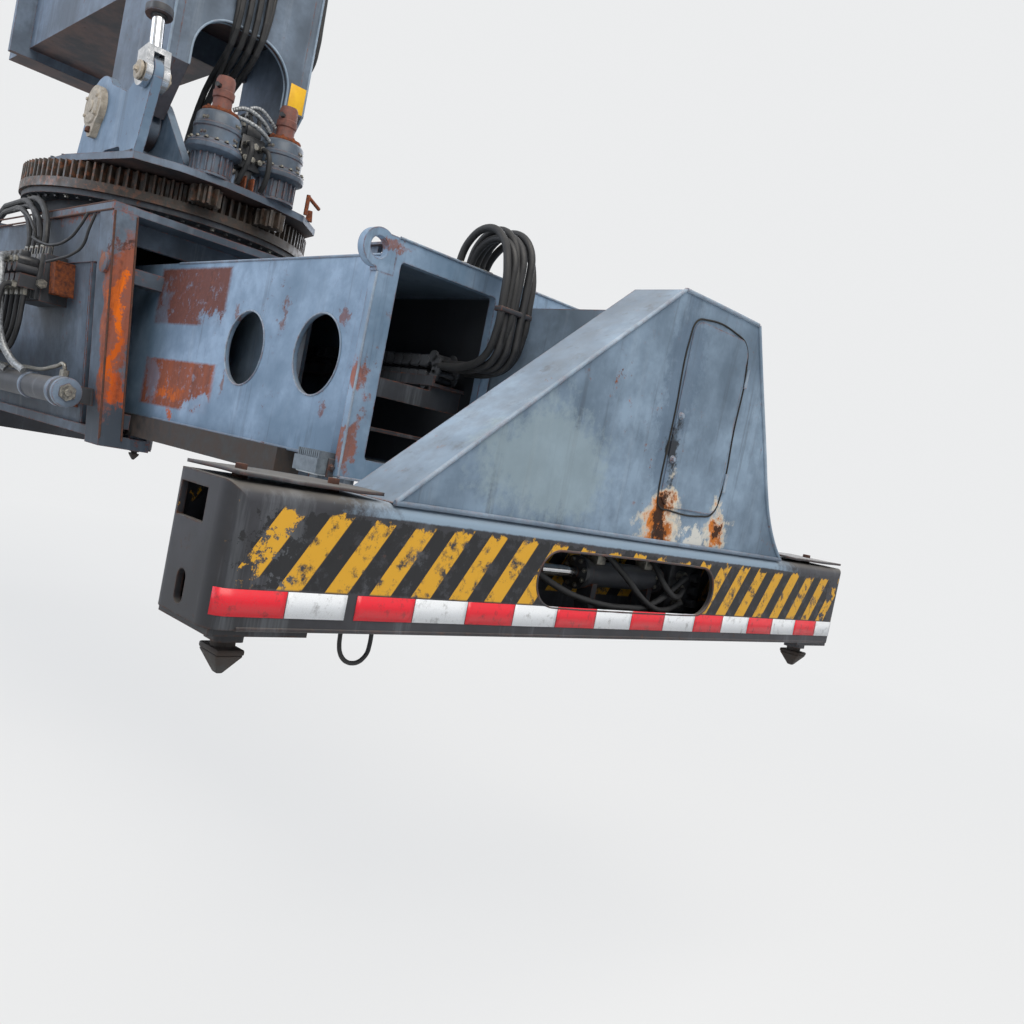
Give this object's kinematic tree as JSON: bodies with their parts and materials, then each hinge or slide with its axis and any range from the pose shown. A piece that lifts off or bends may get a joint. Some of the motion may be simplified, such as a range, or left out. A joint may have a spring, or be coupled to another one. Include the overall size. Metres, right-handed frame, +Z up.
{
  "type": "telescopic container spreader with rotator head and boom head",
  "caption": "Container spreader of a port lift truck: telescopic twistlock beams, side-shift sleeve and toothed slewing head that hang on pins from a boom head with a swing damper.",
  "frame": {"origin": "centre of the boom head's end face, where it joins the inner boom", "axes": "+X from the boom towards the front end beam and along the spreader at rest, +Y to the right seen from behind, +Z up"},
  "size_m": [6.029, 2.438, 3.3],
  "materials": {
    "paint_blue": "weathered light blue-grey paint, chipped and rust stained",
    "paint_slate": "weathered slate-blue paint with rust runs",
    "paint_charcoal": "dark worn paint over rust",
    "greased_steel": "dark steel with black grease",
    "rusty_steel": "brown rusted forged steel",
    "chrome_rod": "polished hard chrome",
    "pin_steel": "dusty bare steel",
    "black_rubber": "black hose rubber",
    "black_plastic": "matte black plastic",
    "bronze_pad": "worn bronze slide pads",
    "motor_paint": "oily grey paint with rust",
    "lamp_metal": "grey die-cast aluminium"
  },
  "bodies": {
    "boom_head": {"boom_head": "paint_slate", "head_front": "paint_slate", "head_cross": "paint_slate", "boom_tube": "paint_slate", "boom_hoses": "black_rubber"},
    "damper_barrel": {"damper_barrel": "paint_slate"},
    "damper_rod": {"damper_rod": "chrome_rod"},
    "rotator_head": {"rotator_plate": "paint_slate", "hang_lugs": "paint_blue", "hang_pins": "pin_steel", "slew_motors": "motor_paint", "hose_swivel": "paint_charcoal"},
    "pinion_left": {"pinion_left": "greased_steel"},
    "pinion_right": {"pinion_right": "greased_steel"},
    "sleeve": {"slew_ring": "greased_steel", "ring_drum": "paint_slate", "sleeve_top": "paint_slate", "sleeve_side_left": "paint_slate", "sleeve_side_right": "paint_slate", "shift_barrel": "paint_charcoal", "valve_block": "paint_charcoal", "sleeve_hoses": "black_rubber"},
    "main_frame": {"frame_plates": "paint_blue", "frame_web": "paint_blue", "frame_walls": "paint_blue", "end_plates": "paint_blue", "lifting_eyes": "paint_blue", "slide_rails": "greased_steel", "frame_pads": "bronze_pad", "chain_tray": "paint_charcoal", "energy_chain": "black_plastic", "frame_hoses": "black_rubber", "work_lamps": "lamp_metal", "shift_rod": "chrome_rod", "hose_cover": "paint_slate"},
    "extension_near": {"ext_beam_near": "greased_steel", "end_beam_near": "paint_charcoal", "tower_near": "paint_blue", "beam_covers_near": "paint_charcoal", "lock_barrel_near": "paint_charcoal", "beam_cable": "black_rubber"},
    "extension_far": {"ext_beam_far": "greased_steel", "end_beam_far": "paint_charcoal", "tower_far": "paint_blue", "beam_covers_far": "paint_charcoal", "lock_barrel_far": "paint_charcoal"},
    "lock_rod_near": {"lock_rod_near": "rusty_steel"},
    "lock_rod_far": {"lock_rod_far": "rusty_steel"},
    "twistlock_near_left": {"twistlocks_near_left": "rusty_steel"},
    "twistlock_near_right": {"twistlocks_near_right": "rusty_steel"},
    "twistlock_far_left": {"twistlocks_far_left": "rusty_steel"},
    "twistlock_far_right": {"twistlocks_far_right": "rusty_steel"}
  },
  "joints": [
    {"name": "swing", "type": "hinge", "parent": "boom_head", "child": "rotator_head", "pos_m": [2.18, 0, -1.075], "axis": [0, 1, 0], "range_deg": [-8, 8]},
    {"name": "slew", "type": "hinge", "parent": "rotator_head", "child": "sleeve", "pos_m": [1.989, 0, -1.435], "axis": [0, 0, 1], "range_deg": [-195, 105]},
    {"name": "side_shift", "type": "slide", "parent": "sleeve", "child": "main_frame", "axis": [1, 0, 0], "range_m": [-1.111, 0.417]},
    {"name": "telescope_near", "type": "slide", "parent": "main_frame", "child": "extension_near", "axis": [1, 0, 0], "range_m": [0, 3.066]},
    {"name": "telescope_far", "type": "slide", "parent": "main_frame", "child": "extension_far", "axis": [-1, 0, 0], "range_m": [0, 3.066]},
    {"name": "damper_tilt", "type": "hinge", "parent": "boom_head", "child": "damper_barrel", "pos_m": [2.525, -0.475, -0.035], "axis": [0, 1, 0], "range_deg": [-1, 1]},
    {"name": "damper_stroke", "type": "slide", "parent": "damper_barrel", "child": "damper_rod", "axis": [0.1647, 0, -0.9863], "range_m": [-0.0735, 0.0735]},
    {"name": "pinion_turn_left", "type": "hinge", "parent": "rotator_head", "child": "pinion_left", "pos_m": [2.70882, -0.16279, -1.435], "axis": [0, 0, 1], "range_deg": [-1190, 2210]},
    {"name": "pinion_turn_right", "type": "hinge", "parent": "rotator_head", "child": "pinion_right", "pos_m": [2.70882, 0.16279, -1.435], "axis": [0, 0, 1], "range_deg": [-1190, 2210]},
    {"name": "lock_stroke_near", "type": "slide", "parent": "extension_near", "child": "lock_rod_near", "axis": [0, 1, 0], "range_m": [0, 0.091]},
    {"name": "lock_stroke_far", "type": "slide", "parent": "extension_far", "child": "lock_rod_far", "axis": [0, -1, 0], "range_m": [0, 0.091]},
    {"name": "twistlock_near_left", "type": "hinge", "parent": "extension_near", "child": "twistlock_near_left", "pos_m": [5.2625, -1.1295, -2.735], "axis": [0, 0, 1], "range_deg": [0, 90]},
    {"name": "twistlock_near_right", "type": "hinge", "parent": "extension_near", "child": "twistlock_near_right", "pos_m": [5.2625, 1.1295, -2.735], "axis": [0, 0, 1], "range_deg": [0, 90]},
    {"name": "twistlock_far_left", "type": "hinge", "parent": "extension_far", "child": "twistlock_far_left", "pos_m": [-0.5905, -1.1295, -2.735], "axis": [0, 0, 1], "range_deg": [0, 90]},
    {"name": "twistlock_far_right", "type": "hinge", "parent": "extension_far", "child": "twistlock_far_right", "pos_m": [-0.5905, 1.1295, -2.735], "axis": [0, 0, 1], "range_deg": [0, 90]}
  ],
  "couplings": [
    {"joint": "telescope_far", "follows": "telescope_near", "ratio": 1},
    {"joint": "pinion_turn_left", "follows": "slew", "ratio": -11.3},
    {"joint": "pinion_turn_right", "follows": "slew", "ratio": -11.3},
    {"joint": "twistlock_near_right", "follows": "twistlock_near_left", "ratio": 1},
    {"joint": "twistlock_far_left", "follows": "twistlock_near_left", "ratio": 1},
    {"joint": "twistlock_far_right", "follows": "twistlock_near_left", "ratio": 1},
    {"joint": "lock_stroke_near", "follows": "twistlock_near_left", "m_per_rad": 0.0573},
    {"joint": "lock_stroke_far", "follows": "twistlock_near_left", "m_per_rad": 0.0573},
    {"joint": "damper_tilt", "follows": "swing", "ratio": 0.002379},
    {"joint": "damper_stroke", "follows": "swing", "m_per_rad": 0.51161}
  ]
}
